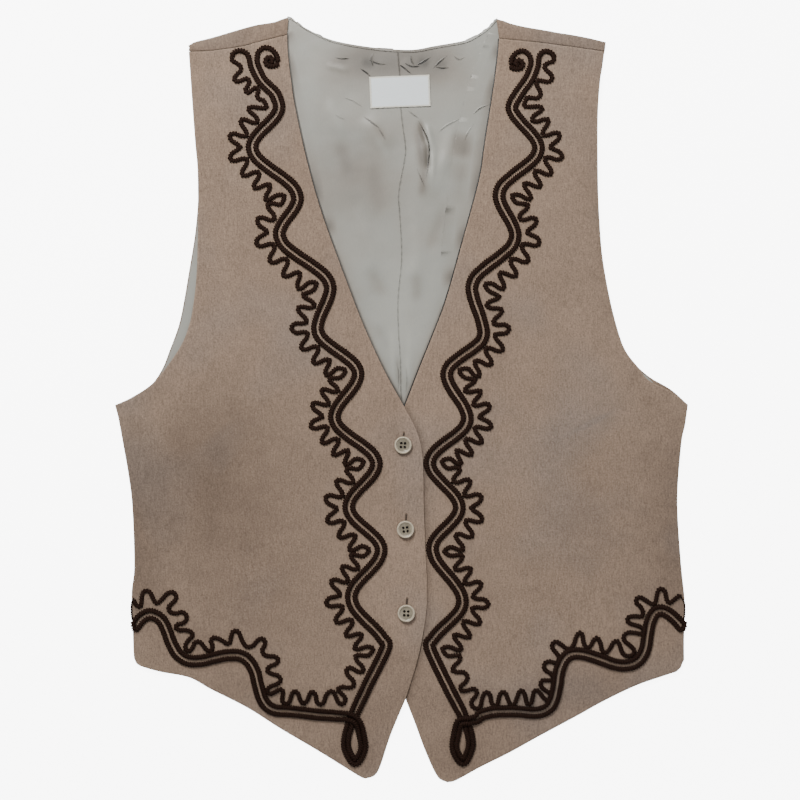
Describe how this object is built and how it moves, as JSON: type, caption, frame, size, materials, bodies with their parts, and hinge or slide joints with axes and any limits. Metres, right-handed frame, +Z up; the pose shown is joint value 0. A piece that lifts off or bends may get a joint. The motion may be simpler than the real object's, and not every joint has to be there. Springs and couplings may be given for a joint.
{
  "type": "sleeveless waistcoat laid flat",
  "caption": "women's V-neck waistcoat in beige crepe with raised dark braid along its edges, fastened by buttons and laid flat on its back",
  "frame": {"origin": "on the surface the garment lies on, under the middle of its bounding box", "axes": "+Z up off the surface, +Y towards the shoulders, +X towards the wearer's left"},
  "size_m": [0.448, 0.598, 0.0119],
  "materials": {
    "cloth": "matte crepe weave",
    "lining": "soft satin sheen",
    "braid": "matte braided cord",
    "button": "satin",
    "label": "matte woven tape"
  },
  "bodies": {
    "root": {"back": "cloth", "back_lining": "lining", "front_right": "cloth", "front_left": "cloth", "label": "label", "button_top": "button", "button_middle": "button", "button_bottom": "button", "braid_right_edge_cord": "braid", "braid_right_inner_cord": "braid", "braid_right_wavy_cord": "braid", "braid_right_knot": "braid", "braid_right_hem_edge_cord": "braid", "braid_right_hem_inner_cord": "braid", "braid_left_edge_cord": "braid", "braid_left_inner_cord": "braid", "braid_left_wavy_cord": "braid", "braid_left_knot": "braid", "braid_left_hem_edge_cord": "braid", "braid_left_hem_inner_cord": "braid"}
  },
  "joints": []
}
